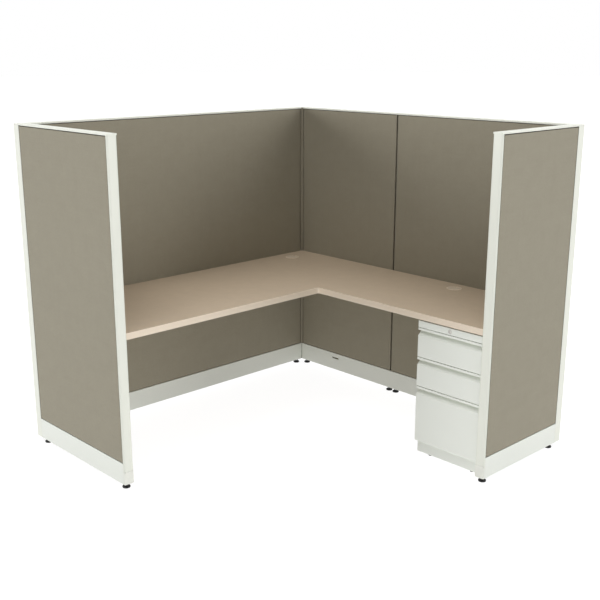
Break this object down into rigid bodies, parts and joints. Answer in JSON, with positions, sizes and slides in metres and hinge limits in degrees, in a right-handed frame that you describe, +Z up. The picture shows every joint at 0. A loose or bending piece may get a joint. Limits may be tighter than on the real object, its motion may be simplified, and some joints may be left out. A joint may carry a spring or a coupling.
{
  "type": "cubicle workstation",
  "caption": "Corner cubicle workstation: fabric-faced panel walls with white trims round an L-shaped laminate worktop, with a lockable drawer pedestal.",
  "frame": {"origin": "on the floor, under the middle of the footprint", "axes": "+Z up; +X along the back wall from the corner towards the right wing; +Y from the room towards the back wall"},
  "size_m": [1.9304, 1.9304, 1.64],
  "materials": {
    "fabric": "plain woven panel fabric, taupe",
    "core_board": "pressed sound-absorbing board",
    "dark_steel": "matt dark paint on folded steel",
    "zinc_steel": "bright zinc plate",
    "lock_metal": "satin nickel plate",
    "white_steel": "fine white powder coat",
    "white_aluminium": "fine white powder coat",
    "white_plastic": "moulded, matt",
    "laminate": "matt laminate on board, warm beige",
    "edge_band": "smooth band, pale beige",
    "grommet_plastic": "moulded, beige",
    "black_plastic": "moulded, black",
    "black_rubber": "moulded, black",
    "pedestal_paint": "fine off-white powder coat"
  },
  "bodies": {
    "station": {"left_wall_frame": "dark_steel", "back_narrow_frame": "dark_steel", "back_wide_frame": "dark_steel", "left_wing_frame": "dark_steel", "right_wing_frame": "dark_steel", "panel_cores": "core_board", "left_wall_inner_skin": "fabric", "left_wall_outer_skin": "fabric", "back_narrow_inner_skin": "fabric", "back_narrow_outer_skin": "fabric", "back_wide_inner_skin": "fabric", "back_wide_outer_skin": "fabric", "left_wing_inner_skin": "fabric", "left_wing_outer_skin": "fabric", "right_wing_inner_skin": "fabric", "right_wing_outer_skin": "fabric", "back_inner_base_cover": "white_steel", "back_outer_base_cover": "white_steel", "left_inner_base_cover": "white_steel", "left_outer_base_cover": "white_steel", "left_wing_base_covers": "white_steel", "right_wing_base_covers": "white_steel", "back_top_cap": "white_aluminium", "left_top_cap": "white_aluminium", "left_wing_top_cap": "white_aluminium", "right_wing_top_cap": "white_aluminium", "corner_posts": "dark_steel", "corner_post_covers": "white_aluminium", "corner_post_caps": "white_plastic", "inner_corner_strips": "fabric", "wing_end_trims": "white_aluminium", "base_end_caps": "white_plastic", "panel_bolts": "zinc_steel", "panel_glides": "black_rubber", "worktop": "laminate", "worktop_edge_band": "edge_band", "worktop_brackets": "dark_steel", "worktop_screws": "zinc_steel", "grommet_sleeves": "grommet_plastic", "pedestal_case": "pedestal_paint", "pedestal_header": "pedestal_paint", "pedestal_fixed_rails": "zinc_steel", "pedestal_levellers": "black_rubber", "pedestal_spacers": "black_rubber"},
    "upper_drawer": {"upper_drawer_front": "pedestal_paint", "upper_drawer_tray": "pedestal_paint", "upper_drawer_rails": "zinc_steel", "pencil_tray": "black_plastic"},
    "middle_drawer": {"middle_drawer_front": "pedestal_paint", "middle_drawer_tray": "pedestal_paint", "middle_drawer_rails": "zinc_steel"},
    "file_drawer": {"file_drawer_front": "pedestal_paint", "file_drawer_tray": "pedestal_paint", "file_drawer_rails": "zinc_steel", "file_hang_rails": "zinc_steel"},
    "file_slides": {"file_middle_rails": "zinc_steel"},
    "lock": {"lock_core": "lock_metal"},
    "locking_bar": {"lock_bar": "zinc_steel"},
    "corner_cap": {"corner_grommet_cap": "grommet_plastic"},
    "right_cap": {"right_grommet_cap": "grommet_plastic"}
  },
  "joints": [
    {"name": "upper_drawer_slide", "type": "slide", "parent": "station", "child": "upper_drawer", "axis": [0, -1, 0], "range_m": [0, 0.36]},
    {"name": "middle_drawer_slide", "type": "slide", "parent": "station", "child": "middle_drawer", "axis": [0, -1, 0], "range_m": [0, 0.36]},
    {"name": "file_drawer_slide", "type": "slide", "parent": "station", "child": "file_drawer", "axis": [0, -1, 0], "range_m": [0, 0.48]},
    {"name": "file_middle_slide", "type": "slide", "parent": "station", "child": "file_slides", "axis": [0, -1, 0], "range_m": [0, 0.24]},
    {"name": "lock_turn", "type": "hinge", "parent": "station", "child": "lock", "pos_m": [0.7161, 0.3191, 0.69335], "axis": [0, 1, 0], "range_deg": [0, 90]},
    {"name": "lock_bar_slide", "type": "slide", "parent": "station", "child": "locking_bar", "axis": [0, 0, -1], "range_m": [0, 0.008]},
    {"name": "corner_cap_turn", "type": "hinge", "parent": "station", "child": "corner_cap", "pos_m": [-0.8104, 0.7314, 0.7492], "axis": [0, 0, 1], "continuous": true},
    {"name": "right_cap_turn", "type": "hinge", "parent": "station", "child": "right_cap", "pos_m": [0.3536, 0.8234, 0.7492], "axis": [0, 0, 1], "continuous": true}
  ],
  "couplings": [
    {"joint": "file_middle_slide", "follows": "file_drawer_slide", "ratio": 0.5},
    {"joint": "lock_turn", "follows": "lock_bar_slide", "rad_per_m": 196.35}
  ]
}
